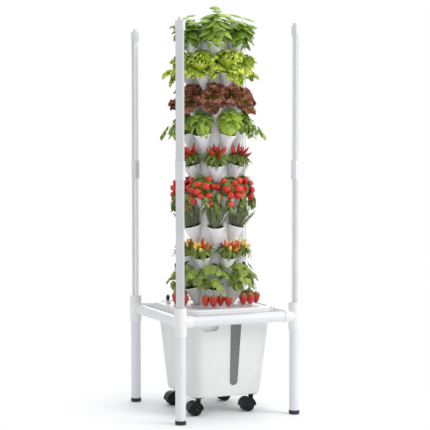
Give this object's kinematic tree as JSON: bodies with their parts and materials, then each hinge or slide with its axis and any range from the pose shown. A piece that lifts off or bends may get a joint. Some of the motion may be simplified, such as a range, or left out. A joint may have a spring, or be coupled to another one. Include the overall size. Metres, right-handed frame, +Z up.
{
  "type": "hydroponic tower",
  "caption": "Planted hydroponic tower of stacked pot tiers on a wheeled water tank, standing inside a white pipe frame with upright grow-light posts.",
  "frame": {"origin": "on the floor under the tower's axis", "axes": "+Z up; the tank's level window faces -Y; the frame's rails run along X and Y"},
  "size_m": [0.559, 0.559, 1.6874],
  "materials": {
    "frame_pipe": "smooth white pipe",
    "frame_fitting": "smooth moulded white",
    "foot_rubber": "matt black",
    "light_housing": "satin, pale grey",
    "light_diffuser": "milky, lit from inside",
    "led_board": "white solder mask",
    "light_end_cap": "satin pale grey",
    "caster_plate": "black",
    "caster_hood": "black moulding",
    "caster_wheel": "black, satin tread",
    "tank_shell": "smooth moulded white",
    "level_window": "smoked grey",
    "tank_lid": "smooth moulded white",
    "tower_shell": "smooth moulded white",
    "float_guide": "white moulding",
    "float_gauge": "black moulding",
    "pump_body": "black moulding",
    "pump_impeller": "white moulding",
    "riser_pipe": "white pipe",
    "growing_medium": "dark damp fibre",
    "basil_leaf": "leaf",
    "green_lettuce_leaf": "leaf",
    "red_lettuce_leaf": "leaf",
    "herb_leaf": "leaf",
    "red_chilli_plant": "leaf",
    "tomato_plant": "leaf",
    "rosemary_sprig": "leaf",
    "mixed_chilli_plant": "leaf",
    "strawberry_plant": "leaf"
  },
  "bodies": {
    "trolley": {"caster_plates": "caster_plate", "tank": "tank_shell", "level_window": "level_window", "tank_lid": "tank_lid", "tower_foot": "tower_shell", "float_guide": "float_guide", "pump_body": "pump_body", "pump_strainer": "pump_body", "riser_pipe": "riser_pipe", "drip_head": "riser_pipe", "planter_tier_1": "tower_shell", "planter_tier_2": "tower_shell", "planter_tier_3": "tower_shell", "planter_tier_4": "tower_shell", "planter_tier_5": "tower_shell", "planter_tier_6": "tower_shell", "planter_tier_7": "tower_shell", "planter_tier_8": "tower_shell", "planter_tier_9": "tower_shell", "grow_plugs": "growing_medium", "basil_plants": "basil_leaf", "green_lettuce_plants": "green_lettuce_leaf", "red_lettuce_plants": "red_lettuce_leaf", "herb_plants": "herb_leaf", "red_chilli_plants": "red_chilli_plant", "tomato_plants": "tomato_plant", "rosemary_plants": "rosemary_sprig", "mixed_chilli_plants": "mixed_chilli_plant", "strawberry_plants": "strawberry_plant"},
    "light_frame": {"leg_front_left": "frame_pipe", "leg_front_right": "frame_pipe", "leg_back_right": "frame_pipe", "leg_back_left": "frame_pipe", "corner_fitting_front_left": "frame_fitting", "corner_fitting_front_right": "frame_fitting", "corner_fitting_back_right": "frame_fitting", "corner_fitting_back_left": "frame_fitting", "rail_front": "frame_pipe", "rail_right": "frame_pipe", "rail_back": "frame_pipe", "rail_left": "frame_pipe", "rubber_feet": "foot_rubber", "light_housing_front_left": "light_housing", "light_housing_front_right": "light_housing", "light_housing_back_right": "light_housing", "light_housing_back_left": "light_housing", "light_diffusers": "light_diffuser", "led_boards": "led_board", "light_end_caps": "light_end_cap"},
    "float": {"float_gauge": "float_gauge"},
    "impeller": {"pump_impeller": "pump_impeller"},
    "cap": {"top_cap": "tower_shell"},
    "caster_front_left": {"caster_hood_front_left": "caster_hood"},
    "wheels_front_left": {"caster_wheels_front_left": "caster_wheel"},
    "caster_front_right": {"caster_hood_front_right": "caster_hood"},
    "wheels_front_right": {"caster_wheels_front_right": "caster_wheel"},
    "caster_back_right": {"caster_hood_back_right": "caster_hood"},
    "wheels_back_right": {"caster_wheels_back_right": "caster_wheel"},
    "caster_back_left": {"caster_hood_back_left": "caster_hood"},
    "wheels_back_left": {"caster_wheels_back_left": "caster_wheel"}
  },
  "joints": [
    {"name": "frame_lift", "type": "slide", "parent": "trolley", "child": "light_frame", "axis": [0, 0, 1], "range_m": [0, 1.72]},
    {"name": "float_rise", "type": "slide", "parent": "trolley", "child": "float", "axis": [0, 0, 1], "range_m": [0, 0.075]},
    {"name": "impeller_spin", "type": "hinge", "parent": "trolley", "child": "impeller", "pos_m": [0, 0, 0.11], "axis": [1, 0, 0], "continuous": true},
    {"name": "cap_lift", "type": "slide", "parent": "trolley", "child": "cap", "axis": [0, 0, 1], "range_m": [0, 0.12]},
    {"name": "swivel_front_left", "type": "hinge", "parent": "trolley", "child": "caster_front_left", "pos_m": [-0.12, -0.12, 0.0667], "axis": [0, 0, 1], "continuous": true},
    {"name": "roll_front_left", "type": "hinge", "parent": "caster_front_left", "child": "wheels_front_left", "pos_m": [-0.138, -0.12, 0.027], "axis": [0, 1, 0], "continuous": true},
    {"name": "swivel_front_right", "type": "hinge", "parent": "trolley", "child": "caster_front_right", "pos_m": [0.12, -0.12, 0.0667], "axis": [0, 0, 1], "continuous": true},
    {"name": "roll_front_right", "type": "hinge", "parent": "caster_front_right", "child": "wheels_front_right", "pos_m": [0.102, -0.12, 0.027], "axis": [0, 1, 0], "continuous": true},
    {"name": "swivel_back_right", "type": "hinge", "parent": "trolley", "child": "caster_back_right", "pos_m": [0.12, 0.12, 0.0667], "axis": [0, 0, 1], "continuous": true},
    {"name": "roll_back_right", "type": "hinge", "parent": "caster_back_right", "child": "wheels_back_right", "pos_m": [0.102, 0.12, 0.027], "axis": [0, 1, 0], "continuous": true},
    {"name": "swivel_back_left", "type": "hinge", "parent": "trolley", "child": "caster_back_left", "pos_m": [-0.12, 0.12, 0.0667], "axis": [0, 0, 1], "continuous": true},
    {"name": "roll_back_left", "type": "hinge", "parent": "caster_back_left", "child": "wheels_back_left", "pos_m": [-0.138, 0.12, 0.027], "axis": [0, 1, 0], "continuous": true}
  ]
}
